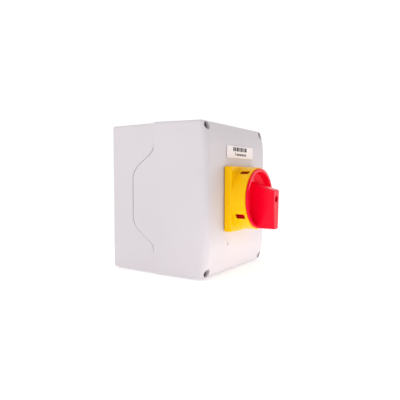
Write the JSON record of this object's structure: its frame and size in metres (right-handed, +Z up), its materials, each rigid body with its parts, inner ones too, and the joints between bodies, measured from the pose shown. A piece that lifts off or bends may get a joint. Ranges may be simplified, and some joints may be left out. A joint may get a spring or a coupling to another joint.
{
  "type": "rotary isolator switch",
  "caption": "Enclosed wall-mounted rotary isolator: grey two-part moulded box, yellow plate and padlockable red turn handle, cam switch inside.",
  "frame": {"origin": "middle of the flat rear face that goes against the wall", "axes": "+Y points out of the rear face into the wall, +Z up, +X right seen from the front; the handle turns about the Y axis"},
  "size_m": [0.128, 0.1574, 0.15],
  "materials": {
    "housing_grey": "fine-textured moulded light grey",
    "safety_yellow": "smooth moulded yellow",
    "safety_red": "smooth moulded red",
    "label_white": "satin printed tape",
    "seal_rubber": "soft black rubber",
    "switch_black": "black thermoset moulding",
    "cam_white": "natural white moulding",
    "zinc_steel": "zinc-plated",
    "spring_steel": "bright drawn",
    "brass": "turned",
    "copper": "tinned copper with silver tips"
  },
  "bodies": {
    "housing": {"rear_housing": "housing_grey", "front_cover": "housing_grey", "cover_seal": "seal_rubber", "cover_screw_1": "zinc_steel", "cover_screw_2": "zinc_steel", "cover_screw_3": "zinc_steel", "cover_screw_4": "zinc_steel", "name_label": "label_white", "earth_terminal": "brass", "earth_screw_1": "zinc_steel", "earth_screw_2": "zinc_steel", "front_plate": "safety_yellow", "plate_screw_1": "zinc_steel", "plate_screw_2": "zinc_steel", "plate_screw_3": "zinc_steel", "plate_screw_4": "zinc_steel", "shaft_seal": "seal_rubber", "latch_housing": "switch_black", "latch_spring_1": "spring_steel", "latch_spring_2": "spring_steel", "stage_housing_1": "switch_black", "bridge_spring_1": "spring_steel", "fixed_contact_1_top": "copper", "fixed_contact_1_bottom": "copper", "terminal_screw_1_top": "zinc_steel", "terminal_screw_1_bottom": "zinc_steel", "stage_housing_2": "switch_black", "bridge_spring_2": "spring_steel", "fixed_contact_2_top": "copper", "fixed_contact_2_bottom": "copper", "terminal_screw_2_top": "zinc_steel", "terminal_screw_2_bottom": "zinc_steel", "stage_housing_3": "switch_black", "bridge_spring_3": "spring_steel", "fixed_contact_3_top": "copper", "fixed_contact_3_bottom": "copper", "terminal_screw_3_top": "zinc_steel", "terminal_screw_3_bottom": "zinc_steel", "end_plate": "switch_black", "tie_rod_1": "zinc_steel", "tie_rod_2": "zinc_steel"},
    "handle": {"handle": "safety_red", "handle_screw": "zinc_steel", "drive_shaft": "zinc_steel", "latch_wheel": "cam_white", "cam_1": "cam_white", "cam_2": "cam_white", "cam_3": "cam_white"},
    "lock_bolt": {"lock_bolt": "safety_red"},
    "contact_1": {"cam_follower_1": "cam_white", "contact_bridge_1": "copper"},
    "contact_2": {"cam_follower_2": "cam_white", "contact_bridge_2": "copper"},
    "contact_3": {"cam_follower_3": "cam_white", "contact_bridge_3": "copper"}
  },
  "joints": [
    {"name": "handle_turn", "type": "hinge", "parent": "housing", "child": "handle", "pos_m": [0, -0.14, 0], "axis": [0, -1, 0], "range_deg": [0, 90], "deforming": ["latch_spring_1", "latch_spring_2"]},
    {"name": "lock_bolt_slide", "type": "slide", "parent": "handle", "child": "lock_bolt", "axis": [0.8387, 0, 0.5446], "range_m": [0, 0.0045]},
    {"name": "contact_travel_1", "type": "slide", "parent": "housing", "child": "contact_1", "axis": [1, 0, 0], "range_m": [0, 0.003], "deforming": ["bridge_spring_1"]},
    {"name": "contact_travel_2", "type": "slide", "parent": "housing", "child": "contact_2", "axis": [1, 0, 0], "range_m": [0, 0.003], "deforming": ["bridge_spring_2"]},
    {"name": "contact_travel_3", "type": "slide", "parent": "housing", "child": "contact_3", "axis": [1, 0, 0], "range_m": [0, 0.003], "deforming": ["bridge_spring_3"]}
  ],
  "couplings": [
    {"joint": "contact_travel_1", "follows": "handle_turn", "m_per_rad": 0.0019},
    {"joint": "contact_travel_2", "follows": "handle_turn", "m_per_rad": 0.0019},
    {"joint": "contact_travel_3", "follows": "handle_turn", "m_per_rad": 0.0019}
  ]
}
